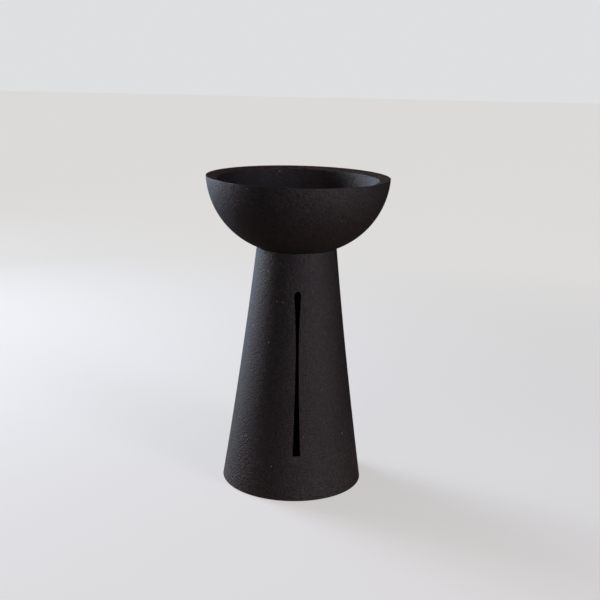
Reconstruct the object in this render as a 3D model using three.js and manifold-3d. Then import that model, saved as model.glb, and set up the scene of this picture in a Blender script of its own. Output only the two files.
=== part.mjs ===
// A tall incense burner in matt black stoneware.
// A round bowl drops by its foot ring into the mouth of a hollow, flared stand, and the stand is set
// down over a low dish. A stick of incense burns upright in a small holder on the dish, behind the
// slot in the stand. Air comes in through the slot, and the smoke leaves by the bottom of the bowl.
// Millimetres, +Z up, the origin on the axis at table height. The slot faces -Y.

import * as THREE from "three";
import { mergeVertices, toCreasedNormals } from "three/addons/utils/BufferGeometryUtils.js";
import Module from "manifold-3d";

const wasm = await Module();
wasm.setup();

// The whole burner, from the table to the highest edge of the rim
const height = 240;

// Bowl: a flat rim that slopes in and down, over an even wall whose side is one round arc
const rimRadius = 69.6;
const rimDrop = 2;
const bowlWall = 8.2;
const bowlRound = 60.9;
const bowlRoundRise = 3.45;
const bowlFootRadius = 23;
const bowlFootWidth = 6;
const bowlFootDepth = 5.2;
const ventRadius = 6;

// Stand: a hollow cone whose side curves out a little towards the foot
const footRadius = 54.8;
const neckRadius = 30.6;
const standWall = 7.2;
const flareSag = 1;
const seatGap = 0.3;
const mouthClearance = 1.2;
const mouthRelief = 2;

// Slot: square at the bottom, narrow at the waist and round at the top
const slotBottom = 34.7;
const slotWaist = 112;
const slotTop = 157.8;
const slotFootWidth = 5.75;
const slotWaistWidth = 2.25;
const slotTopWidth = 4.9;
const slotEase = 24;

// Dish, which catches the ash inside the foot of the stand
const dishClearance = 0.6;
const dishHeight = 10.5;
const dishWall = 3.6;
const dishFloor = 4.7;
const dishFlare = 5;

// Stick holder, a turned button that stands in a socket in the dish
const holderRadius = 10;
const holderHeight = 12;
const holderFlange = 2.6;
const holderBossRadius = 4.5;
const holderBossHeight = 3.6;
const holderChamfer = 0.7;
const stickHoleRadius = 1.3;
const stickHoleDepth = 9;
const socketDepth = 1.5;
const socketClearance = 0.3;

// Felt rings, glued into grooves under the stand and the dish
const feltWidth = 2.6;
const feltThickness = 1.2;
const feltProud = 0.5;
const feltGap = 0.3;
const dishFeltRadius = 28;

// Steps round the axis and along the curves
const potterySteps = 64;
const roundSteps = 14;
const lipSteps = 2;
const holderSteps = 24;
const curveSteps = 6;

// Heights and radii that follow from the sizes above
const undersideHeight = feltProud;
const bowlCentreRadius = rimRadius - Math.sqrt(bowlRound ** 2 - bowlRoundRise ** 2);
const bowlCentre = new THREE.Vector2(bowlCentreRadius, height + bowlRoundRise);
const bowlInnerRound = bowlRound - bowlWall;
const bowlUnderside = bowlCentre.y - bowlRound;
const bowlFloorHeight = bowlCentre.y - bowlInnerRound;
const bowlFootHeight = bowlUnderside - bowlFootDepth;
const seatRound = bowlRound + seatGap;
const mouthRadius = bowlFootRadius + mouthClearance;
const mouthBottom = bowlFootHeight - mouthRelief;
const footInnerRadius = footRadius - standWall;
const standFeltRadius = footInnerRadius + (standWall - feltWidth) / 2;
const dishTop = undersideHeight + dishHeight;
const dishRadius = hollowRadius(dishTop) - dishClearance;
const dishFloorHeight = undersideHeight + dishFloor;
const socketHeight = dishFloorHeight - socketDepth;

// The radius of the stand's hollow at height z, on the curve that addFlare draws.
function hollowRadius(z) {
  const t = (z - undersideHeight) / (mouthBottom - undersideHeight);
  return footInnerRadius + (mouthRadius - footInnerRadius) * t - 4 * flareSag * t * (1 - t);
}

// The angle, about the bowl's centre, at which a circle of this radius passes a given place.
// Both angles point down and out, to the lower right of the centre.
function angleAtRadius(round, radius) {
  return -Math.acos((radius - bowlCentre.x) / round);
}

function angleAtHeight(round, z) {
  return Math.asin((z - bowlCentre.y) / round);
}

// Adds an arc about the bowl's centre to a profile, from one angle to another.
function addRound(path, round, from, to, steps) {
  for (let i = 0; i <= steps; i++) {
    const angle = from + (to - from) * (i / steps);
    path.lineTo(bowlCentre.x + round * Math.cos(angle), bowlCentre.y + round * Math.sin(angle));
  }
}

// Adds one hollow side of the stand to a profile, from where the profile is to (radius, z).
function addFlare(path, radius, z) {
  const start = path.currentPoint;
  const middleRadius = (start.x + radius) / 2 - 2 * flareSag;
  path.quadraticCurveTo(middleRadius, (start.y + z) / 2, radius, z);
}

// Adds the groove for a felt ring to a flat underside, going outwards.
function addFeltGroove(path, feltRadius) {
  const inner = feltRadius - feltGap;
  const outer = feltRadius + feltWidth + feltGap;
  path.lineTo(inner, undersideHeight);
  path.lineTo(inner, feltThickness);
  path.lineTo(outer, feltThickness);
  path.lineTo(outer, undersideHeight);
}

// Turns a profile of (radius, height) about +Z. Profiles run up the outside and down the inside.
function turned(path, steps) {
  const points = [];
  for (const point of path.getPoints(curveSteps)) {
    const last = points[points.length - 1];
    if (!last || last.distanceTo(point) > 1e-6) {
      points.push(point);
    }
  }
  return new THREE.LatheGeometry(points, steps).rotateX(Math.PI / 2);
}

// Makes a solid of a closed geometry, with the vertices that coincide merged.
function toSolid(geometry) {
  const bare = new THREE.BufferGeometry();
  bare.setAttribute("position", geometry.getAttribute("position"));
  bare.setIndex(geometry.getIndex());
  const merged = mergeVertices(bare);
  const vertProperties = new Float32Array(merged.getAttribute("position").array);
  const triVerts = new Uint32Array(merged.getIndex().array);
  return new wasm.Manifold(new wasm.Mesh({ numProp: 3, vertProperties, triVerts }));
}

function toGeometry(solid) {
  const { vertProperties, triVerts } = solid.getMesh();
  const geometry = new THREE.BufferGeometry();
  geometry.setAttribute("position", new THREE.BufferAttribute(vertProperties, 3));
  geometry.setIndex(new THREE.BufferAttribute(triVerts, 1));
  return toCreasedNormals(geometry, Math.PI / 6);
}

// The bowl hangs from its rim in one even wall, with a foot ring that finds the mouth of the stand
// and a hole in the middle that lets the smoke up.
function makeBowl() {
  const path = new THREE.Path();
  path.moveTo(ventRadius, bowlUnderside);
  path.lineTo(bowlFootRadius - bowlFootWidth, bowlUnderside);
  path.lineTo(bowlFootRadius - bowlFootWidth, bowlFootHeight);
  path.lineTo(bowlFootRadius, bowlFootHeight);
  const outerBottom = angleAtRadius(bowlRound, bowlFootRadius);
  addRound(path, bowlRound, outerBottom, angleAtHeight(bowlRound, height), roundSteps);
  const innerTop = angleAtHeight(bowlInnerRound, height - rimDrop);
  addRound(path, bowlInnerRound, innerTop, -Math.PI / 2, roundSteps);
  path.lineTo(ventRadius, bowlFloorHeight);
  path.closePath();
  return turned(path, potterySteps);
}

// The slot as it is cut through the front wall, drawn on the XZ plane and pushed out towards -Y.
function makeSlotCutter() {
  const bottom = slotFootWidth / 2;
  const waist = slotWaistWidth / 2;
  const top = slotTopWidth / 2;
  const topCentre = slotTop - top;
  const shape = new THREE.Shape();
  shape.moveTo(-bottom, slotBottom);
  shape.lineTo(bottom, slotBottom);
  shape.quadraticCurveTo(waist, slotWaist - slotEase, waist, slotWaist);
  shape.quadraticCurveTo(waist, slotWaist + slotEase, top, topCentre);
  shape.absarc(0, topCentre, top, 0, Math.PI, false);
  shape.quadraticCurveTo(-waist, slotWaist + slotEase, -waist, slotWaist);
  shape.quadraticCurveTo(-waist, slotWaist - slotEase, -bottom, slotBottom);
  const depth = footRadius + standWall;
  const options = { depth, bevelEnabled: false, curveSegments: curveSteps };
  return new THREE.ExtrudeGeometry(shape, options).rotateX(Math.PI / 2);
}

// The stand carries the bowl on a lip that is hollowed to the bowl's own round underside.
function makeStand() {
  const path = new THREE.Path();
  path.moveTo(footInnerRadius, undersideHeight);
  addFeltGroove(path, standFeltRadius);
  path.lineTo(footRadius, undersideHeight);
  const lipOuter = angleAtRadius(seatRound, neckRadius);
  addFlare(path, neckRadius, bowlCentre.y + seatRound * Math.sin(lipOuter));
  addRound(path, seatRound, lipOuter, angleAtRadius(seatRound, mouthRadius), lipSteps);
  path.lineTo(mouthRadius, mouthBottom);
  addFlare(path, footInnerRadius, undersideHeight);
  path.closePath();
  const cone = toSolid(turned(path, potterySteps));
  return toGeometry(cone.subtract(toSolid(makeSlotCutter())));
}

// The dish is a shallow saucer with a socket in the middle for the stick holder.
function makeDish() {
  const socketRadius = holderRadius + socketClearance;
  const innerRadius = dishRadius - dishWall;
  const path = new THREE.Path();
  path.moveTo(0, undersideHeight);
  addFeltGroove(path, dishFeltRadius);
  path.lineTo(dishRadius - dishFlare, undersideHeight);
  path.quadraticCurveTo(dishRadius, undersideHeight, dishRadius, dishTop);
  path.lineTo(innerRadius, dishTop);
  path.quadraticCurveTo(innerRadius, dishFloorHeight, innerRadius - dishFlare, dishFloorHeight);
  path.lineTo(socketRadius, dishFloorHeight);
  path.lineTo(socketRadius, socketHeight);
  path.lineTo(0, socketHeight);
  return turned(path, potterySteps);
}

// The holder has a flange that stands in the socket and a slim boss, drilled for the stick.
function makeStickHolder() {
  const bossFoot = holderHeight - holderBossHeight;
  const path = new THREE.Path();
  path.moveTo(0, 0);
  path.lineTo(holderRadius, 0);
  path.lineTo(holderRadius, holderFlange);
  path.quadraticCurveTo(holderBossRadius, holderFlange, holderBossRadius, bossFoot);
  path.lineTo(holderBossRadius, holderHeight - holderChamfer);
  path.lineTo(holderBossRadius - holderChamfer, holderHeight);
  path.lineTo(stickHoleRadius + holderChamfer, holderHeight);
  path.lineTo(stickHoleRadius, holderHeight - holderChamfer);
  path.lineTo(stickHoleRadius, holderHeight - stickHoleDepth);
  path.lineTo(0, holderHeight - stickHoleDepth);
  return turned(path, holderSteps);
}

function makeFeltRing(innerRadius) {
  const path = new THREE.Path();
  path.moveTo(innerRadius, 0);
  path.lineTo(innerRadius + feltWidth, 0);
  path.lineTo(innerRadius + feltWidth, feltThickness);
  path.lineTo(innerRadius, feltThickness);
  path.closePath();
  return turned(path, potterySteps);
}

function blackStoneware() {
  return new THREE.MeshStandardMaterial({ color: 0x2e2b2c, roughness: 0.85, metalness: 0 });
}

function darkBrass() {
  return new THREE.MeshStandardMaterial({ color: 0x7a6238, roughness: 0.45, metalness: 1 });
}

function greyFelt() {
  return new THREE.MeshStandardMaterial({ color: 0x3a3836, roughness: 1, metalness: 0 });
}

function addPiece(group, name, geometry, material) {
  const mesh = new THREE.Mesh(geometry, material);
  mesh.name = name;
  group.add(mesh);
  return mesh;
}

// What stays on the table when the stand is lifted
const base = new THREE.Group();
addPiece(base, "base_dish", makeDish(), blackStoneware());
addPiece(base, "dish_felt", makeFeltRing(dishFeltRadius), greyFelt());
const holder = addPiece(base, "stick_holder", makeStickHolder(), darkBrass());
holder.position.z = socketHeight;

// What is lifted off by hand
const cover = new THREE.Group();
addPiece(cover, "stand", makeStand(), blackStoneware());
addPiece(cover, "stand_felt", makeFeltRing(standFeltRadius), greyFelt());
addPiece(cover, "bowl", makeBowl(), blackStoneware());

const burner = new THREE.Group();
burner.add(base, cover);

export default burner;
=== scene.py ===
# %% [markdown]
# A tall incense burner in matt black stoneware. A thrown bowl sits on a hollow, flared stand, and the
# stand is set down over a low ash dish. The frame holds each piece at its real size, so this script
# only gives every piece its finished surface: it turns finer shapes in the same places.

# %% Load the frame
import math

import bmesh
import bpy
from mathutils import Matrix, Vector


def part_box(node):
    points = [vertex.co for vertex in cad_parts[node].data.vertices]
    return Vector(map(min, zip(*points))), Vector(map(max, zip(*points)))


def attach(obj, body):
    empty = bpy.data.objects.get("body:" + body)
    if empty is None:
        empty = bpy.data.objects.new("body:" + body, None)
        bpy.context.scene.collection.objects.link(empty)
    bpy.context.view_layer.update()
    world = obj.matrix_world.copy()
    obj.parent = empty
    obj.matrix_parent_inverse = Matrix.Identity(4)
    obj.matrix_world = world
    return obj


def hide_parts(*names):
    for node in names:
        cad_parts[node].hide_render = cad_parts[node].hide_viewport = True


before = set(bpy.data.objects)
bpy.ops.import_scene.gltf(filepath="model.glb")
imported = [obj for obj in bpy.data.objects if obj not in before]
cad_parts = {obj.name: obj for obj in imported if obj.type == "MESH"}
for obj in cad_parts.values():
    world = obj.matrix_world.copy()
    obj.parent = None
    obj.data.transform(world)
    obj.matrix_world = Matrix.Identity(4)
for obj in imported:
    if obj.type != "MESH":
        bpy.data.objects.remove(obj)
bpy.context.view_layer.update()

mm = 0.001

# %% [markdown]
# Every ceramic piece here was turned on a wheel, so each starts as a profile, a list of radii and
# heights. A profile could be drawn by hand in the viewport, but then its sizes couldn't be read. Two
# kinds of curve are enough: a round arc for the bowl, and a bend for all that flares or eases.

# %% Draw curves
def arc(centre, radius, start, end, steps):
    """Points on a circle, from one angle to another."""
    angles = [start + (end - start) * i / steps for i in range(steps + 1)]
    return [(centre[0] + radius * math.cos(a), centre[1] + radius * math.sin(a)) for a in angles]


def bend(start, control, end, steps):
    """Points on a curve that leaves start towards control and reaches end from it."""
    points = []
    for i in range(steps + 1):
        t = i / steps
        points.append(tuple((1 - t) ** 2 * a + 2 * t * (1 - t) * b + t * t * c
                            for a, b, c in zip(start, control, end)))
    return points


print("a bend round a square corner passes", bend((0, 0), (1, 0), (1, 1), 2)[1])

# %% [markdown]
# A potter goes over a wet edge with a sponge, so no corner stays sharp. A bevel modifier could round
# them, but it pinches where faces are narrow. It is cleaner to soften the profile itself. It is walked
# at an even fine step, and each point is averaged with its neighbours a few times, which rounds the
# corners and leaves the long curves where they are. Then the points that aren't needed are dropped.

# %% Sponge a profile
straight_enough = math.radians(1.5)


def walked(points, step, closed):
    """The same outline with a point at every step along it."""
    ends = points[1:] + points[:1] if closed else points[1:]
    walk = []
    for a, b in zip(points, ends):
        length = math.dist(a, b)
        count = max(1, round(length / step))
        walk += [(a[0] + (b[0] - a[0]) * i / count, a[1] + (b[1] - a[1]) * i / count) for i in range(count)]
    if not closed:
        walk.append(points[-1])
    return walk


def sponged(points, passes, closed):
    """The outline with its corners rounded by averaging each point with its neighbours."""
    last = len(points)
    for _ in range(passes):
        new = []
        for i, p in enumerate(points):
            if not closed and i in (0, last - 1):
                new.append(p)
                continue
            a, b = points[i - 1], points[(i + 1) % last]
            new.append(((a[0] + 2 * p[0] + b[0]) / 4, (a[1] + 2 * p[1] + b[1]) / 4))
        points = new
    return points


def thinned(points, longest, closed):
    """The outline without the points that a nearly straight stretch doesn't need."""
    kept = [points[0]]
    for before, p, after in zip(points, points[1:], points[2:] + points[:1]):
        turn = math.atan2(after[1] - p[1], after[0] - p[0]) - math.atan2(p[1] - before[1], p[0] - before[0])
        turn = abs((turn + math.pi) % (2 * math.pi) - math.pi)
        if turn > straight_enough or math.dist(kept[-1], p) > longest:
            kept.append(p)
    if not closed and kept[-1] != points[-1]:
        kept.append(points[-1])
    return kept


square = [(0, 0), (10, 0), (10, 10), (0, 10)]
print("a walk round a square of 10 at steps of 1 has", len(walked(square, 1, True)), "points")

# %% [markdown]
# A hand-turned wall is never a perfect circle. It wanders by about a tenth of a millimetre round the
# axis and up the wall. Random noise could move it, but a wheel leaves long, even lobes, and three slow
# waves give just these. They only move the wall inwards, which keeps the piece inside its measured size.

# %% Let the wall wander
pot_height = 240 * mm
waves = [
    {"share": 0.5, "lobes": 2, "offset": 1, "twist": 9},
    {"share": 0.3, "lobes": 3, "offset": -2, "twist": -14},
    {"share": 0.2, "lobes": 5, "offset": 3, "twist": 31},
]


def wander(angle, height, seed):
    """A slow wave between 0 and 1, round the axis and up the wall."""
    total = 0
    for wave in waves:
        place = wave["lobes"] * angle + wave["offset"] * seed + wave["twist"] * height / pot_height
        total += wave["share"] * math.sin(place)
    return 0.5 + 0.5 * total


print("the waves at one spot:", round(wander(0, 0, 0), 2))

# %% [markdown]
# On the wheel, the profile goes round the axis. Blender's Screw modifier does that too, but it can't let
# the wall wander, so the rings of points are made one by one and joined with faces. A closed profile
# makes a ring-shaped piece. An open one starts and ends on the axis and makes a piece that is solid
# through the middle.

# %% Turn a profile on the wheel
def turned(name, profile, around, unevenness=0.0, seed=0.0, closed=True):
    """A mesh turned from a profile about the axis. An open profile starts and ends on the axis."""
    mesh = bpy.data.meshes.new(name)
    builder = bmesh.new()
    rings = []
    on_axis = 1e-7
    for r, z in profile:
        if r < on_axis:
            rings.append([builder.verts.new((0, 0, z))])
            continue
        ring = []
        for i in range(around):
            angle = 2 * math.pi * i / around
            radius = r - unevenness * wander(angle, z, seed)
            ring.append(builder.verts.new((radius * math.cos(angle), radius * math.sin(angle), z)))
        rings.append(ring)
    pairs = list(zip(rings, rings[1:]))
    if closed:
        pairs.append((rings[-1], rings[0]))
    for low, high in pairs:
        for i in range(around):
            j = (i + 1) % around
            corners = [low[i % len(low)], low[j % len(low)], high[j % len(high)], high[i % len(high)]]
            builder.faces.new(list(dict.fromkeys(corners)))
    bmesh.ops.recalc_face_normals(builder, faces=builder.faces)
    builder.to_mesh(mesh)
    builder.free()
    mesh.shade_smooth()
    piece = bpy.data.objects.new(name, mesh)
    bpy.context.collection.objects.link(piece)
    print(name, "has", len(mesh.vertices), "points")
    return piece


def finished(piece, body, slot, *nodes):
    """Rides the piece on its body and hides the plain solid that it stands for. The slot is not used."""
    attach(piece, body)
    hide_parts(*nodes)
    return piece


# %% [markdown]
# The bowl's side is one round arc, a little over 60 mm in radius, that still leans out a trifle where
# it reaches the rim. The inside follows it at an even wall. The rim is a flat band that slopes in and
# down, with a crisp outer edge, so the bowl gets only a few passes of the sponge. Underneath, a foot
# ring drops into the mouth of the stand, and a hole in the middle lets the smoke up.

# %% Shape the bowl
bowl_low, bowl_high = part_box("bowl")
around_pot = 256
fine_step = 0.1 * mm
long_step = 2.2 * mm
hair = 0.02 * mm
unevenness = 0.1 * mm
light_sponge = 6

bowl_round = 60.9 * mm
bowl_wall = 8.2 * mm
rim_drop = 2 * mm
round_rise = 3.45 * mm
foot_ring = 23 * mm
foot_ring_width = 6 * mm
vent = 6 * mm
rim = bowl_high.x - hair
round_centre = (rim - math.sqrt(bowl_round ** 2 - round_rise ** 2), bowl_high.z + round_rise)
inner_round = bowl_round - bowl_wall
underside = round_centre[1] - bowl_round
outer_from = -math.acos((foot_ring - round_centre[0]) / bowl_round)
outer_to = math.asin(-round_rise / bowl_round)
inner_from = -math.asin((round_rise + rim_drop) / inner_round)
outer_steps = 90
inner_steps = 80

bowl_outline = [(vent, underside), (foot_ring - foot_ring_width, underside)]
bowl_outline += [(foot_ring - foot_ring_width, bowl_low.z + hair), (foot_ring, bowl_low.z + hair)]
bowl_outline += arc(round_centre, bowl_round, outer_from, outer_to, outer_steps)
bowl_outline += arc(round_centre, inner_round, inner_from, -math.pi / 2, inner_steps)
bowl_outline += [(vent, round_centre[1] - inner_round)]
bowl_profile = thinned(sponged(walked(bowl_outline, fine_step, True), light_sponge, True), long_step, True)
bowl = turned("bowl_pottery", bowl_profile, around_pot, unevenness, seed=0.7)
finished(bowl, "bowl", "stoneware", "bowl")

# %% [markdown]
# The stand is a hollow cone whose side curves out a little towards the foot, thrown with an even wall.
# Its lip is hollowed to the bowl's round underside, so only a hairline shows at the joint. Both the lip
# and the bowl are therefore drawn about the same centre. A groove under the foot takes the felt ring.

# %% Shape the stand
stand_low, stand_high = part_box("stand")
felt_low, felt_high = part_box("stand_felt")
stand_wall = 7.2 * mm
flare_sag = 1 * mm
neck = 30.6 * mm
mouth = 24.2 * mm
mouth_bottom = bowl_low.z - 2 * mm
felt_gap = 0.3 * mm
felt_width = 2.6 * mm
lip_gap = 0.18 * mm
foot = stand_high.x - hair
foot_z = stand_low.z
foot_inner = foot - stand_wall
groove_inner = felt_high.x - felt_width - felt_gap
groove_outer = felt_high.x + felt_gap
seat_round = bowl_round + lip_gap
lip_from = -math.acos((neck - round_centre[0]) / seat_round)
lip_to = -math.acos((mouth - round_centre[0]) / seat_round)
full_sponge = 12
flare_steps = 60
lip_steps = 12


def flare(start, end):
    """One side of the stand, hollowed a little below the straight line from start to end."""
    middle = ((start[0] + end[0]) / 2 - 2 * flare_sag, (start[1] + end[1]) / 2)
    return bend(start, middle, end, flare_steps)


lip = arc(round_centre, seat_round, lip_from, lip_to, lip_steps)
stand_outline = [(groove_inner, foot_z), (groove_inner, felt_high.z)]
stand_outline += [(groove_outer, felt_high.z), (groove_outer, foot_z)]
stand_outline += flare((foot, foot_z), lip[0]) + lip[1:]
stand_outline += flare((mouth, mouth_bottom), (foot_inner, foot_z))
stand_profile = thinned(sponged(walked(stand_outline, fine_step, True), full_sponge, True), long_step, True)
stand = turned("stand_pottery", stand_profile, around_pot, unevenness, seed=2.1)

# %% [markdown]
# The slot is drawn flat first, as seen from the front: square at the bottom, narrow at the waist and
# round at the top, where it ends in a raised arch. It is cut by hand in the real clay, so it leans by
# half a degree. The outline can be spread, which moves every edge out by the same amount.

# %% Draw the slot
slot_bottom = 34.7 * mm
slot_waist = 112 * mm
slot_top = 158.2 * mm
slot_ease = 24 * mm
half_foot = 2.8 * mm
half_waist = 1.07 * mm
half_top = 2.4 * mm
crown_rise = 3.7 * mm
slot_lean = math.radians(0.45)
lean_pivot = 96 * mm
lower_steps = 24
upper_steps = 20
crown_steps = 24


def slot_outline(spread):
    """The slot's outline in (X, Z), with each edge moved out by the spread."""
    bottom, waist, top = (half + spread for half in (half_foot, half_waist, half_top))
    top_centre = slot_top - crown_rise
    corner = (bottom, slot_bottom - spread)
    side = bend(corner, (waist, slot_waist - slot_ease), (waist, slot_waist), lower_steps)
    side += bend((waist, slot_waist), (waist, slot_waist + slot_ease), (top, top_centre), upper_steps)[1:]
    stretch = (crown_rise + spread) / top
    crown = [(x, top_centre + z * stretch) for x, z in arc((0, 0), top, 0, math.pi, crown_steps)[1:-1]]
    outline = side + crown + [(-x, z) for x, z in reversed(side)]
    return [(x - math.tan(slot_lean) * (z - lean_pivot), z) for x, z in outline]


print("the slot's outline has", len(slot_outline(0)), "points")

# %% [markdown]
# A potter cuts the slot with a thin blade and runs a wet finger along its edges. Here a body in the
# shape of the hole does both. It flares where it leaves the wall, along a quarter of a small circle, and
# that rounds the edges. Behind the wall it dips, so that the slot's bottom slopes inwards. A bevel on
# the finished slot would round it too, but it fails on the thin faces that a cut leaves behind.

# %% Make the knife
slot_arris = 0.5 * mm
arris_turn = math.radians(72)
arris_steps = 7
ledge_drop = 22 * mm
knife_reach = foot + 5 * mm


def wall_radius(z):
    """The radius of the stand's outside at a height."""
    t = (z - foot_z) / (lip[0][1] - foot_z)
    return foot + (lip[0][0] - foot) * t - 4 * flare_sag * t * (1 - t)


def slot_knife():
    """A body that spans the front wall. It flares where it leaves the wall, and rounds the slot's edges."""
    mesh = bpy.data.meshes.new("slot_knife")
    builder = bmesh.new()
    axis_ring = slot_outline(0)
    for corner in (0, -1):
        x, z = axis_ring[corner]
        axis_ring[corner] = (x, z - ledge_drop)
    rings = [[(x, 0, z) for x, z in axis_ring]]
    for i in range(arris_steps + 1):
        angle = arris_turn * i / arris_steps
        spread = slot_arris * (1 - math.cos(angle))
        depth = slot_arris * (1 - math.sin(angle))
        rings.append([(x, depth - wall_radius(z), z) for x, z in slot_outline(spread)])
    spread += slot_arris * math.sin(arris_turn)
    depth -= slot_arris * math.cos(arris_turn)
    rings.append([(x, depth - wall_radius(z), z) for x, z in slot_outline(spread)])
    rings.append([(x, -knife_reach, z) for x, z in slot_outline(spread)])
    rings = [[builder.verts.new(place) for place in ring] for ring in rings]
    builder.faces.new(rings[0])
    builder.faces.new(rings[-1])
    for inner, outer in zip(rings, rings[1:]):
        for i in range(len(inner)):
            j = (i + 1) % len(inner)
            builder.faces.new((inner[i], inner[j], outer[j], outer[i]))
    bmesh.ops.triangulate(builder, faces=builder.faces)
    bmesh.ops.recalc_face_normals(builder, faces=builder.faces)
    builder.to_mesh(mesh)
    builder.free()
    knife = bpy.data.objects.new("slot_knife", mesh)
    bpy.context.collection.objects.link(knife)
    return knife


print("the wall's radius at the slot's bottom, mm:", round(wall_radius(slot_bottom) / mm, 1))

# %% [markdown]
# A Boolean modifier takes the knife's shape out of the stand. The cut is then made for good and the
# knife removed, so that only clay is left in the scene. Edges that turn sharply are marked sharp, or the
# smooth shading would smear across them.

# %% Cut the slot
sharp_from = math.radians(14)


def cut(piece, knife):
    """Cuts the knife's shape out of the piece, for good, and takes the knife away."""
    modifier = piece.modifiers.new("slot", "BOOLEAN")
    modifier.operation = "DIFFERENCE"
    modifier.solver = "EXACT"
    modifier.object = knife
    bpy.context.view_layer.update()
    result = bpy.data.meshes.new_from_object(piece.evaluated_get(bpy.context.evaluated_depsgraph_get()))
    piece.modifiers.clear()
    piece.data = result
    bpy.data.objects.remove(knife)


cut(stand, slot_knife())
stand.data.set_sharp_from_angle(angle=sharp_from)
finished(stand, "stand", "stoneware", "stand")
print("the cut stand has", len(stand.data.vertices), "points")

# %% [markdown]
# The dish stays out of sight until the stand is lifted. It is a shallow saucer that catches the ash,
# with a round socket in the middle. It is sponged more than the pots above it, because its edges meet
# nothing. Its profile is open, since the saucer has no hole through it.

# %% Shape the dish
dish_low, dish_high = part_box("base_dish")
holder_low, holder_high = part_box("stick_holder")
dish_felt_low, dish_felt_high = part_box("dish_felt")
dish_rim = dish_high.x - hair
dish_wall = 3.6 * mm
dish_flare = 5 * mm
dish_floor = 5.2 * mm
dish_inner = dish_rim - dish_wall
socket = holder_high.x + 0.3 * mm
dish_groove_inner = dish_felt_high.x - felt_width - felt_gap
dish_groove_outer = dish_felt_high.x + felt_gap
around_dish = 128
dish_unevenness = 0.08 * mm
dish_sponge = 20
outside_steps = 20
inside_steps = 16

dish_outline = [(0, dish_low.z), (dish_groove_inner, dish_low.z), (dish_groove_inner, dish_felt_high.z)]
dish_outline += [(dish_groove_outer, dish_felt_high.z), (dish_groove_outer, dish_low.z)]
under_edge = (dish_rim - dish_flare, dish_low.z)
dish_outline += bend(under_edge, (dish_rim, dish_low.z), (dish_rim, dish_high.z), outside_steps)
floor_edge = (dish_inner - dish_flare, dish_floor)
dish_outline += bend((dish_inner, dish_high.z), (dish_inner, dish_floor), floor_edge, inside_steps)
dish_outline += [(socket, dish_floor), (socket, holder_low.z), (0, holder_low.z)]
dish_profile = thinned(sponged(walked(dish_outline, fine_step, False), dish_sponge, False), long_step, False)
dish = turned("dish_pottery", dish_profile, around_dish, dish_unevenness, seed=4.0, closed=False)
finished(dish, "base", "stoneware", "base_dish")

# %% [markdown]
# The stick holder is a small brass button with a fine hole down its middle. Metal is turned on a lathe,
# so it keeps its true circle and its crisp chamfers: it gets no wander and almost no sponge.

# %% Turn the stick holder
flange = holder_high.x - hair
boss = 4.5 * mm
stick_hole = 1.3 * mm
boss_foot = holder_high.z - 3.6 * mm
flange_top = holder_low.z + 2.6 * mm
hole_bottom = holder_high.z - 9 * mm
chamfer = 0.7 * mm
around_holder = 96
brass_step = 0.15 * mm
brass_longest = 1 * mm
crisp_sponge = 2
neck_steps = 16

holder_outline = [(0, holder_low.z + hair), (flange, holder_low.z + hair)]
holder_outline += bend((flange, flange_top), (boss, flange_top), (boss, boss_foot), neck_steps)
holder_outline += [(boss, holder_high.z - chamfer), (boss - chamfer, holder_high.z)]
holder_outline += [(stick_hole + chamfer, holder_high.z), (stick_hole, holder_high.z - chamfer)]
holder_outline += [(stick_hole, hole_bottom), (0, hole_bottom)]
holder_walk = sponged(walked(holder_outline, brass_step, False), crisp_sponge, False)
holder = turned("stick_button", thinned(holder_walk, brass_longest, False), around_holder, closed=False)
finished(holder, "holder", "brass", "stick_holder")

# %% [markdown]
# Felt rings under the stand and the dish keep the unglazed clay from scratching what it stands on. They
# are cut from sheet felt, so their edges are soft and a little uneven. They are turned as the pots are, with
# a wander of their own, because a flat ring with square edges would look like plastic.

# %% Cut the felt rings
felt_step = 0.15 * mm
around_felt = 128
felt_unevenness = 0.06 * mm


def felt_ring(name, node, body):
    """A soft-edged ring in the place of a plain felt node."""
    low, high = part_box(node)
    outer = high.x - hair
    inner = high.x - felt_width
    outline = [(inner, low.z), (outer, low.z), (outer, high.z - hair), (inner, high.z - hair)]
    profile = sponged(walked(outline, felt_step, True), crisp_sponge, True)
    ring = turned(name, profile, around_felt, felt_unevenness, seed=1.3)
    return finished(ring, body, "felt", node)


felt_rings = [felt_ring("stand_felt_ring", "stand_felt", "stand")]
felt_rings.append(felt_ring("dish_felt_ring", "dish_felt", "base"))

# %% [markdown]
# A finish is a small chain of nodes: noise gives a grey pattern in the piece's own metres, a ramp turns
# the pattern into colours or numbers, and the shader takes them. Painted pictures could give more, but
# they need unwrapping and show a seam on a turned shape, and noise doesn't.

# %% Start a finish
def new_material(name):
    """An empty node material, its nodes, its links and its shader."""
    material = bpy.data.materials.new(name)
    material.use_nodes = True
    nodes = material.node_tree.nodes
    return material, nodes, material.node_tree.links, nodes["Principled BSDF"]


def noise(nodes, links, scale, detail):
    """Noise in the piece's own metres."""
    place = nodes.new("ShaderNodeTexCoord")
    texture = nodes.new("ShaderNodeTexNoise")
    texture.inputs["Scale"].default_value = scale
    texture.inputs["Detail"].default_value = detail
    links.new(place.outputs["Object"], texture.inputs["Vector"])
    return texture


def ramp(nodes, links, source, stops):
    """Colours along a ramp that the source drives."""
    node = nodes.new("ShaderNodeValToRGB")
    for i, (place, colour) in enumerate(stops):
        stop = node.color_ramp.elements[i] if i < 2 else node.color_ramp.elements.new(place)
        stop.position = place
        stop.color = (*colour, 1)
    links.new(source, node.inputs["Fac"])
    return node


print("helpers so far:", [helper.__name__ for helper in (new_material, noise, ramp)])

# %% [markdown]
# Three more helpers lay one thing over another. A bump tilts the light on the surface without moving
# it, which suits grain that is far finer than the mesh. A tint brings the colour to another tone inside a
# mask. A painted shade dims the colour in fine specks, standing in for the shade in the grain's
# hollows, so that single grains show in flat light too.

# %% Lay one finish over another
black = (0, 0, 0)
white = (1, 1, 1)
# The painted shade of the grain's hollows runs between these two levels of its noise.
grain_shade_low = 0.38
grain_shade_high = 0.62


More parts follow.
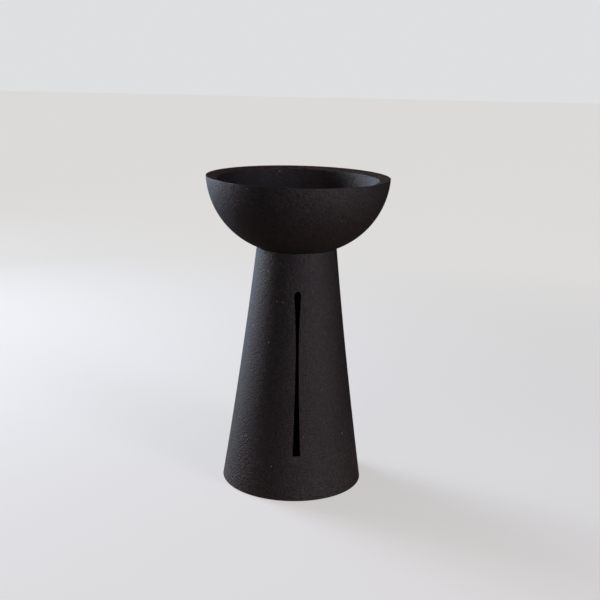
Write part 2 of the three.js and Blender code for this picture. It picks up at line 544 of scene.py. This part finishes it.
def bump(nodes, links, source, distance, strength, before=None):
    """Turns a height into a bump, on top of an earlier one if there is one."""
    node = nodes.new("ShaderNodeBump")
    node.inputs["Distance"].default_value = distance
    node.inputs["Strength"].default_value = strength
    links.new(source, node.inputs["Height"])
    if before:
        links.new(before.outputs["Normal"], node.inputs["Normal"])
    return node


def tinted(nodes, links, colour, mask, tone):
    """Brings a colour to another tone wherever the mask is white."""
    node = nodes.new("ShaderNodeMix")
    node.data_type = "RGBA"
    links.new(mask, node.inputs["Factor"])
    links.new(colour, node.inputs["A"])
    node.inputs["B"].default_value = (*tone, 1)
    return node.outputs["Result"]


def grain_shaded(nodes, links, colour, source, dimmest):
    """Dims a colour where the source is low, a painted shade of the grain's hollows that shows single grains
    even in flat light.
    """
    level = ramp(nodes, links, source, [(grain_shade_low, (dimmest,) * 3), (grain_shade_high, white)])
    node = nodes.new("ShaderNodeMix")
    node.data_type = "RGBA"
    node.blend_type = "MULTIPLY"
    node.inputs["Factor"].default_value = 1
    links.new(colour, node.inputs["A"])
    links.new(level.outputs["Color"], node.inputs["B"])
    return node.outputs["Result"]


print("helpers for layers:", [helper.__name__ for helper in (bump, tinted, grain_shaded)])

# %% [markdown]
# The sand in the clay holds a few pale grains, and here and there one has come to the surface. Voronoi
# cells give one possible place for each grain, and a random value in every cell leaves most of them
# empty. A small patch under the slot is rubbed lighter, which a soft ball of mask marks. The bowl's
# underside gets a painted warm glow of bounced light, and a mask that fades with height marks that.

# %% Make the masks
grit_scale = 130
grit_core = 0.05
grit_edge = 0.075
grit_empty = 0.6
grit_full = 0.62
patch_core = 0.35


def grit_mask(nodes, links):
    """White in a few tiny spots, where pale grit has come to the surface."""
    place = nodes.new("ShaderNodeTexCoord")
    cells = nodes.new("ShaderNodeTexVoronoi")
    cells.inputs["Scale"].default_value = grit_scale
    links.new(place.outputs["Object"], cells.inputs["Vector"])
    spot = ramp(nodes, links, cells.outputs["Distance"], [(grit_core, white), (grit_edge, black)])
    chosen = ramp(nodes, links, cells.outputs["Color"], [(grit_empty, black), (grit_full, white)])
    both = nodes.new("ShaderNodeMath")
    both.operation = "MULTIPLY"
    links.new(spot.outputs["Color"], both.inputs[0])
    links.new(chosen.outputs["Color"], both.inputs[1])
    return both.outputs["Value"]


def patch_mask(nodes, links, centre, radii):
    """White at the centre of a soft patch, and black outside its radii."""
    place = nodes.new("ShaderNodeTexCoord")
    shifted = nodes.new("ShaderNodeVectorMath")
    shifted.operation = "SUBTRACT"
    shifted.inputs[1].default_value = centre
    links.new(place.outputs["Object"], shifted.inputs[0])
    scaled = nodes.new("ShaderNodeVectorMath")
    scaled.operation = "DIVIDE"
    scaled.inputs[1].default_value = radii
    links.new(shifted.outputs["Vector"], scaled.inputs[0])
    length = nodes.new("ShaderNodeVectorMath")
    length.operation = "LENGTH"
    links.new(scaled.outputs["Vector"], length.inputs[0])
    return ramp(nodes, links, length.outputs["Value"], [(patch_core, white), (1, black)]).outputs["Color"]


def height_mask(nodes, links, full, none):
    """White up to one height, and black from another height on."""
    place = nodes.new("ShaderNodeTexCoord")
    parts = nodes.new("ShaderNodeSeparateXYZ")
    links.new(place.outputs["Object"], parts.inputs["Vector"])
    fade = nodes.new("ShaderNodeMapRange")
    fade.inputs["From Min"].default_value = full
    fade.inputs["From Max"].default_value = none
    fade.inputs["To Min"].default_value = 1
    fade.inputs["To Max"].default_value = 0
    links.new(parts.outputs["Z"], fade.inputs["Value"])
    return fade.outputs["Result"]


print("a grit cell is about", round(1 / grit_scale / mm, 1), "mm wide")

# %% [markdown]
# The clay is fired black and left unglazed. Its sand stands up as a fine grain about a millimetre
# across, with a finer tooth between, and fine specks of painted shade darken the colour, standing in for
# the shade in the hollows between the grains. Slow drift takes the colour between brown and blue black.
# The same grain drives the roughness, since the tops of the grains are rubbed a little duller than the
# skin of clay between them.

# %% Mix the clay
drift_scale = 38
drift_low = 0.32
drift_high = 0.68
grain_scale = 760
grain_raggedness = 0.6
grain_height = 0.0011
# The painted shade of the grain's hollows: the size of its specks and how dark the darkest are.
grain_shade_scale = 820
grain_shade_dimmest = 0.22
tooth_scale = 2400
tooth_height = 0.00006
rub_tone = (0.051, 0.047, 0.044)
# Painted warm bounce light: the brown glow that the floor throws up under the bowl.
warm_bounce_tone = (0.0385, 0.0255, 0.0212)
grit_tone = (0.3, 0.29, 0.27)
clay_sheen = [(0.3, (0.5,) * 3), (0.7, (0.6,) * 3)]


def stoneware(name, dark, light, rubbed=None, warm_bounce=None):
    """Matt black clay with grain, drift and grit. It can have a rubbed patch or a painted warm glow of
    bounced light on its lower part.
    """
    material, nodes, links, shader = new_material(name)
    drift = noise(nodes, links, drift_scale, detail=4)
    stops = [(drift_low, dark), (drift_high, light)]
    colour = ramp(nodes, links, drift.outputs["Fac"], stops).outputs["Color"]
    if rubbed:
        colour = tinted(nodes, links, colour, patch_mask(nodes, links, *rubbed), rub_tone)
    # A painted warm glow of bounced light, fading with height.
    if warm_bounce:
        colour = tinted(nodes, links, colour, height_mask(nodes, links, *warm_bounce), warm_bounce_tone)
    # Fine specks of painted shade, standing in for the shade in the grain's hollows.
    grain_shade_noise = noise(nodes, links, grain_shade_scale, detail=2)
    colour = grain_shaded(nodes, links, colour, grain_shade_noise.outputs["Fac"], grain_shade_dimmest)
    colour = tinted(nodes, links, colour, grit_mask(nodes, links), grit_tone)
    links.new(colour, shader.inputs["Base Color"])
    grain = noise(nodes, links, grain_scale, detail=4)
    grain.inputs["Roughness"].default_value = grain_raggedness
    tooth = noise(nodes, links, tooth_scale, detail=3)
    coarse = bump(nodes, links, grain.outputs["Fac"], grain_height, strength=0.8)
    fine = bump(nodes, links, tooth.outputs["Fac"], tooth_height, strength=0.6, before=coarse)
    links.new(fine.outputs["Normal"], shader.inputs["Normal"])
    dryness = ramp(nodes, links, grain.outputs["Fac"], clay_sheen)
    links.new(dryness.outputs["Color"], shader.inputs["Roughness"])
    return material


clay_dark = (0.0261, 0.0226, 0.0236)
clay_light = (0.0377, 0.0319, 0.0305)
clay = stoneware("black_stoneware", clay_dark, clay_light)
rub_centre = (-0.5 * mm, -wall_radius(slot_bottom), slot_bottom - 3.2 * mm)
rub_radii = (5.5 * mm, 4 * mm, 4.5 * mm)
rubbed_clay = stoneware("rubbed_stoneware", clay_dark, clay_light, (rub_centre, rub_radii))
for pot, finish in ((bowl, clay), (stand, rubbed_clay), (dish, clay)):
    pot.data.materials.clear()
    pot.data.materials.append(finish)
print("clays:", [clay.name, rubbed_clay.name])

# %% [markdown]
# The flat band of the rim faces up and a little inwards, and a warm brown reflection of the floor and the
# room is painted on it, as the same clay in a lighter, browner tone. A mask by height would do it, but the
# bowl's inside starts at the same height, so the faces of the band are picked by the way they look, up
# and a little inwards, and get a material of their own.

# %% Paint a brown reflection on the rim
# Painted reflection: the brown of the floor and the room, seen in the rim's upturned band.
rim_reflection_dark = (0.077, 0.042, 0.031)
rim_reflection_light = (0.111, 0.061, 0.043)
rim_slack = 0.2 * mm
faces_up = 0.7
rim_from = bowl_high.z - rim_drop - rim_slack
rim_reflection_slot = len(bowl.data.materials)
bowl.data.materials.append(stoneware("rim_reflection_stoneware", rim_reflection_dark, rim_reflection_light))
on_rim = [face for face in bowl.data.polygons if face.normal.z > faces_up and face.center.z > rim_from]
for face in on_rim:
    face.material_index = rim_reflection_slot
print("faces on the rim's flat band:", len(on_rim))

# %% [markdown]
# The outside of the bowl is painted a warmer brown towards its underside, a painted glow of the warm
# light that the floor throws up under it. With the height mask in the black clay itself, the inside
# would turn brown too, so only the faces that look away from the axis get a clay with the mask in it.
# The mask is black at the rim, so the change of material doesn't show.

# %% Paint warm bounce light on the bowl's underside
warm_bounce_full = 195 * mm
warm_bounce_none = 232 * mm
warm_bounce_clay = stoneware("warm_bounce_stoneware", clay_dark, clay_light, warm_bounce=(warm_bounce_full, warm_bounce_none))
warm_bounce_slot = len(bowl.data.materials)
bowl.data.materials.append(warm_bounce_clay)
outside = [face for face in bowl.data.polygons if face.normal.xy.dot(face.center.xy) > 0]
for face in outside:
    if face.material_index != rim_reflection_slot:
        face.material_index = warm_bounce_slot
print("faces on the bowl's outside:", len(outside))

# %% [markdown]
# The brass holder stands in the smoke, so it is dark and dull in patches, and brighter where fingers
# lift it. One noise drives both its colour and its roughness, because tarnish changes the two together.

# %% Darken the brass
tarnish_scale = 260
tarnish_colours = [(0.35, (0.11, 0.066, 0.027)), (0.7, (0.3, 0.19, 0.075))]
tarnish_sheen = [(0.3, (0.52,) * 3), (0.75, (0.3,) * 3)]
lathe_mark_scale = 3000
lathe_mark_depth = 0.00002


def brass():
    """Turned brass that smoke has darkened."""
    material, nodes, links, shader = new_material("darkened_brass")
    shader.inputs["Metallic"].default_value = 1
    tarnish = noise(nodes, links, tarnish_scale, detail=5)
    colour = ramp(nodes, links, tarnish.outputs["Fac"], tarnish_colours)
    links.new(colour.outputs["Color"], shader.inputs["Base Color"])
    dull = ramp(nodes, links, tarnish.outputs["Fac"], tarnish_sheen)
    links.new(dull.outputs["Color"], shader.inputs["Roughness"])
    scratches = noise(nodes, links, lathe_mark_scale, detail=2)
    marks = bump(nodes, links, scratches.outputs["Fac"], lathe_mark_depth, strength=0.5)
    links.new(marks.outputs["Normal"], shader.inputs["Normal"])
    return material


holder.data.materials.append(brass())
print("the holder's finish:", holder.data.materials[0].name)

# %% [markdown]
# Felt is a mat of short wool fibres. A bump as fine as a fibre breaks up its surface, and a little
# sheen gives the pale fuzz that wool shows at its edges. Real hairs could be grown, but nobody would see
# them on a ring that is under the foot.

# %% Press the felt
fibre_scale = 2400
fibre_colours = [(0.3, (0.028, 0.027, 0.026)), (0.7, (0.07, 0.067, 0.063))]
nap_height = 0.0002


def felt():
    """Grey wool felt."""
    material, nodes, links, shader = new_material("grey_felt")
    shader.inputs["Roughness"].default_value = 1
    shader.inputs["Sheen Weight"].default_value = 0.4
    fibres = noise(nodes, links, fibre_scale, detail=6)
    colour = ramp(nodes, links, fibres.outputs["Fac"], fibre_colours)
    links.new(colour.outputs["Color"], shader.inputs["Base Color"])
    nap = bump(nodes, links, fibres.outputs["Fac"], nap_height, strength=0.9)
    links.new(nap.outputs["Normal"], shader.inputs["Normal"])
    return material


wool = felt()
for ring in felt_rings:
    ring.data.materials.append(wool)
print("materials:", sorted(m.name for m in bpy.data.materials if m.users))

# %% [markdown]
# The photograph was taken from slightly above and a little to the left of the slot. The camera stands
# at that place, and is tipped by the degree and a half by which the picture leans. The numbers come from
# setting the known outline, seam, rim and foot against the picture until they all agreed.

# %% Set the camera
camera_distance = 0.786
camera_height = 0.3373
slot_turn = math.radians(3.42)
pitch = math.radians(13.82)
yaw = -0.0045
roll = 0.0248
focal_pixels = 1045.5
picture_width = 600

camera_data = bpy.data.cameras.new("camera")
camera_data.sensor_width = 36
camera_data.lens = focal_pixels / picture_width * camera_data.sensor_width
camera_data.clip_start = 0.01
camera = bpy.data.objects.new("camera", camera_data)
bpy.context.collection.objects.link(camera)
bpy.context.scene.camera = camera

to_slot = Matrix.Rotation(-slot_turn, 3, "Z")
ahead = to_slot @ Vector((-math.sin(yaw), math.cos(yaw), 0))
forward = ahead * math.cos(pitch) - Vector((0, 0, math.sin(pitch)))
level = Vector((ahead.y, -ahead.x, 0))
upright = level.cross(forward)
right = level * math.cos(roll) + upright * math.sin(roll)
up = upright * math.cos(roll) - level * math.sin(roll)
turn = Matrix((right, up, -forward)).transposed()
spot = to_slot @ Vector((0, -camera_distance, 0)) + Vector((0, 0, camera_height))
camera.matrix_world = Matrix.Translation(spot) @ turn.to_4x4()
print("lens", round(camera_data.lens, 1), "mm")

# %% [markdown]
# Soft lamps light the clay. Each is a flat panel, placed by its angle round the object from the
# camera's side, so that the light belongs to the view. A sky picture could light the scene at one
# stroke, but then no single lamp could be moved to where the clay needs it.

# %% Build a lamp
lamp_aim = Vector((0, 0, 0.13))


def soft_lamp(name, leftward, elevation, distance, width, height, power, colour):
    """A rectangular lamp, aimed at the neck from some degrees to the left of the camera."""
    towards_camera = Matrix.Rotation(math.radians(-leftward), 3, "Z") @ -ahead
    rise = math.radians(elevation)
    way = towards_camera * math.cos(rise) + Vector((0, 0, math.sin(rise)))
    data = bpy.data.lights.new(name, "AREA")
    data.shape = "RECTANGLE"
    data.size = width
    data.size_y = height
    data.energy = power
    data.color = colour
    lamp = bpy.data.objects.new(name, data)
    lamp.location = lamp_aim + distance * way
    lamp.rotation_euler = (-way).to_track_quat("-Z", "Y").to_euler()
    bpy.context.collection.objects.link(lamp)
    print(name, "stands at", [round(v, 2) for v in lamp.location])


# %% [markdown]
# Three lamps to the left and behind, one low, one high and one farther round, act together as a tall
# window. They only graze the left side, which shows up the grain. The farthest is the bluest, so that
# the light cools towards the edge.

# %% Light the left side
soft_lamp("left_low", leftward=115, elevation=8, distance=1.3, width=0.6, height=0.7,
          power=6.4, colour=(1, 0.887, 0.943))
soft_lamp("left_high", leftward=127, elevation=20, distance=1.3, width=0.5, height=0.5,
          power=10.9, colour=(0.781, 0.86, 1))
soft_lamp("left_back", leftward=137, elevation=10, distance=1.3, width=0.5, height=0.6,
          power=3.3, colour=(0.223, 0.596, 1))

# %% [markdown]
# On the right in front stands a narrow lamp, whose dull reflection runs down the right half. A weak
# warm one stands low beside it. One above in front, weaker still, keeps the dark middle from going black.

# %% Light the front
soft_lamp("right_front", leftward=-44, elevation=10, distance=1.2, width=0.3, height=0.6,
          power=6.4, colour=(0.81, 0.78, 1))
soft_lamp("right_low", leftward=-54, elevation=3, distance=1.2, width=0.8, height=0.3,
          power=1.44, colour=(1, 0.6875, 0.125))
soft_lamp("above_front", leftward=8, elevation=60, distance=1.2, width=0.8, height=0.8,
          power=1.183, colour=(1, 0.81, 0.776))

# %% [markdown]
# The floor and the world look pale to the camera, but the clay sees a dim room: its faint sheen would
# turn grey in a white one. More lamps could whiten the floor, but they would light the clay as well. The
# Light Path node tells the kinds of ray apart, so each kind can get a strength of its own.

# %% Tell the rays apart
def for_rays(nodes, links, parts):
    """Adds up strengths, each given for one kind of ray."""
    path = nodes.new("ShaderNodeLightPath")
    total = None
    for ray, strength in parts:
        part = nodes.new("ShaderNodeMath")
        part.operation = "MULTIPLY"
        part.inputs[1].default_value = strength
        links.new(path.outputs[ray], part.inputs[0])
        if total:
            both = nodes.new("ShaderNodeMath")
            both.operation = "ADD"
            links.new(total, both.inputs[0])
            links.new(part.outputs["Value"], both.inputs[1])
            total = both.outputs["Value"]
        else:
            total = part.outputs["Value"]
    return total


print("the kinds of ray told apart here: camera, transmission, glossy and diffuse")

# %% [markdown]
# The floor is a plain pale sheet that lies a hair below the foot, so that the two never share a plane.
# To the camera it takes light and shadow near the object, and farther out it glows evenly instead, or
# the lamps would show as bright pools on it. Close to the foot the clay sees a warm floor, which throws
# a little light up the wall. Farther out the clay sees it dark.

# %% Lay the floor
reach = 6
floor_z = -0.05 * mm
near = 0.3
far = 0.9
tone_stops = [(near, (0.45, 0.443, 0.436)), (far, (0.015, 0.0148, 0.0146))]
glow_stops = [(near, (0.5, 0.493, 0.485)), (far, (0.71, 0.7, 0.69))]
bounce_stops = [(0.07, (0.52, 0.34, 0.25)), (0.15, (0.1, 0.065, 0.05)), (0.4, (0.02,) * 3)]

floor_mesh = bpy.data.meshes.new("floor")
floor_corners = [(-reach, -reach, floor_z), (reach, -reach, floor_z)]
floor_corners += [(reach, reach, floor_z), (-reach, reach, floor_z)]
floor_mesh.from_pydata(floor_corners, [], [(0, 1, 2, 3)])
floor = bpy.data.objects.new("floor", floor_mesh)
bpy.context.collection.objects.link(floor)

paper, paper_nodes, paper_links, paper_shader = new_material("pale_floor")
paper_shader.inputs["Roughness"].default_value = 0.9
from_axis = paper_nodes.new("ShaderNodeVectorMath")
from_axis.operation = "LENGTH"
paper_links.new(paper_nodes.new("ShaderNodeTexCoord").outputs["Object"], from_axis.inputs[0])
distance = from_axis.outputs["Value"]
bounce = ramp(paper_nodes, paper_links, distance, bounce_stops)
tone = ramp(paper_nodes, paper_links, distance, tone_stops)
glow = ramp(paper_nodes, paper_links, distance, glow_stops)
seen_by_camera = for_rays(paper_nodes, paper_links, [("Is Camera Ray", 1)])
paper_tone = paper_nodes.new("ShaderNodeMix")
paper_tone.data_type = "RGBA"
paper_links.new(seen_by_camera, paper_tone.inputs["Factor"])
paper_links.new(bounce.outputs["Color"], paper_tone.inputs["A"])
paper_links.new(tone.outputs["Color"], paper_tone.inputs["B"])
paper_links.new(paper_tone.outputs["Result"], paper_shader.inputs["Base Color"])
paper_links.new(glow.outputs["Color"], paper_shader.inputs["Emission Color"])
paper_links.new(seen_by_camera, paper_shader.inputs["Emission Strength"])
floor_mesh.materials.append(paper)
print("the floor is", 2 * reach, "m wide")

# %% [markdown]
# The world stands in for the rest of the room. It is pale to the camera and through glass, and almost
# dark to the light that bounces off the clay and the brass, which the lamps then draw alone. Standard
# is the plainest view transform: it shows each colour as it was written.

# %% Hang the world
sky_colour = (0.98, 0.99, 1)
rays = [("Is Camera Ray", 0.75), ("Is Transmission Ray", 0.75)]
rays += [("Is Glossy Ray", 0.02), ("Is Diffuse Ray", 0.02)]

world = bpy.data.worlds.new("room_light")
world.use_nodes = True
world_nodes = world.node_tree.nodes
sky = world_nodes["Background"]
sky.inputs["Color"].default_value = (*sky_colour, 1)
world.node_tree.links.new(for_rays(world_nodes, world.node_tree.links, rays), sky.inputs["Strength"])
bpy.context.scene.world = world
bpy.context.scene.view_settings.view_transform = "Standard"
print("the world's strengths:", rays)
